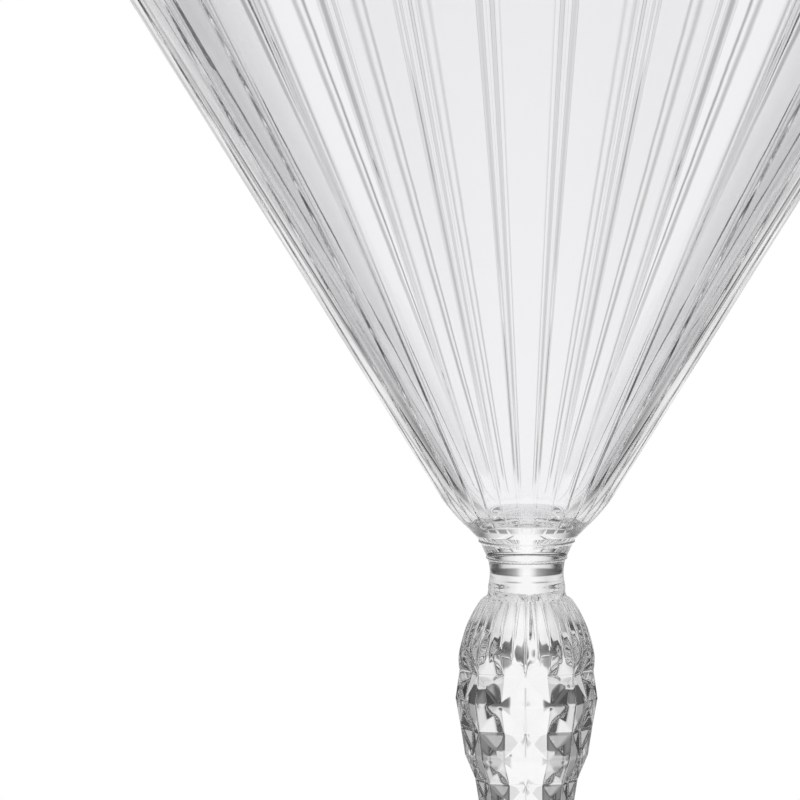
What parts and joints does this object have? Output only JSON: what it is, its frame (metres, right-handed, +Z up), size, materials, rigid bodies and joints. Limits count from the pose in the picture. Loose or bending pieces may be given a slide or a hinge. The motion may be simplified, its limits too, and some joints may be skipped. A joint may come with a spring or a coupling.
{
  "type": "cocktail glass",
  "caption": "Stemmed cocktail glass of clear pressed glass: ribbed cone bowl, collar, stem with petals and diamond points, domed disc foot.",
  "frame": {"origin": "centre of the foot on the plane it rests on", "axes": "+Z up along the axis of the glass, from the foot to the rim; -Y faces the viewer of the picture"},
  "size_m": [0.114, 0.114, 0.1713],
  "materials": {
    "clear_glass": "clear, fire-polished gloss"
  },
  "bodies": {
    "root": {"foot": "clear_glass", "stem": "clear_glass", "collar": "clear_glass", "bowl": "clear_glass"}
  },
  "joints": []
}
